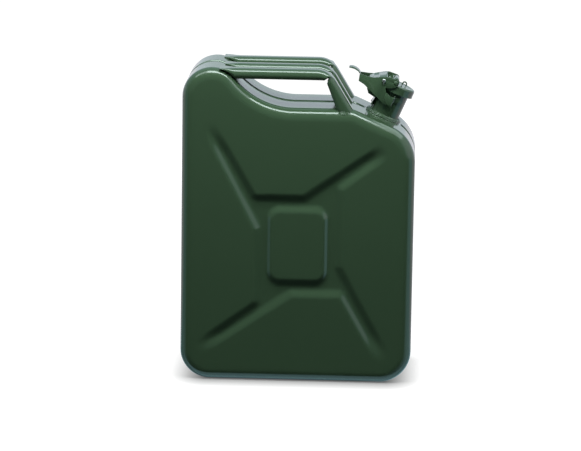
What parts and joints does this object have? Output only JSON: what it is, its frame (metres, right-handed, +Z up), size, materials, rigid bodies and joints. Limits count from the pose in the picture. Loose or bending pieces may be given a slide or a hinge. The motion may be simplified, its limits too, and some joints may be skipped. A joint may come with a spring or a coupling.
{
  "type": "jerrycan",
  "caption": "Flat pressed-steel fuel can with a cross pressed into each side, bar handles along the top and a short slanted neck whose cap is locked by a lever.",
  "frame": {"origin": "on the ground under the middle of the can", "axes": "+X towards the side with the neck, +Y from the near broad face to the far one, +Z up"},
  "size_m": [0.345, 0.165, 0.47],
  "materials": {
    "green_paint": "gloss",
    "zinc_steel": "zinc plated",
    "black_rubber": "matt"
  },
  "bodies": {
    "can": {"shell_near": "green_paint", "shell_far": "green_paint", "seam_weld": "green_paint", "handle_near": "green_paint", "handle_centre": "green_paint", "handle_far": "green_paint", "foot_weld_near": "green_paint", "foot_weld_far": "green_paint", "neck_tube": "green_paint", "neck_weld": "green_paint", "hinge_bracket": "green_paint", "hook_bracket_near": "green_paint", "hook_bracket_far": "green_paint", "trunnion_near": "green_paint", "trunnion_far": "green_paint", "breather_tube": "zinc_steel", "hinge_pin": "zinc_steel"},
    "cap": {"lid": "green_paint", "lid_gasket": "black_rubber", "lid_carrier": "green_paint", "lid_rivet_near": "green_paint", "lid_rivet_far": "green_paint", "sealing_loop": "green_paint"},
    "lever": {"closing_lever": "green_paint", "pivot_pin": "green_paint"},
    "pin": {"safety_pin": "zinc_steel"}
  },
  "joints": [
    {"name": "lid_swing", "type": "hinge", "parent": "can", "child": "cap", "pos_m": [0.10676, 0, 0.43591], "axis": [0, -1, 0], "range_deg": [0, 100]},
    {"name": "lever_lift", "type": "hinge", "parent": "cap", "child": "lever", "pos_m": [0.14167, 0, 0.44625], "axis": [0, 1, 0], "range_deg": [0, 150]},
    {"name": "safety_pin_pull", "type": "slide", "parent": "lever", "child": "pin", "axis": [0, -1, 0], "range_m": [0, 0.012]}
  ],
  "couplings": [
    {"joint": "lever_lift", "follows": "lid_swing", "ratio": 1.5}
  ]
}
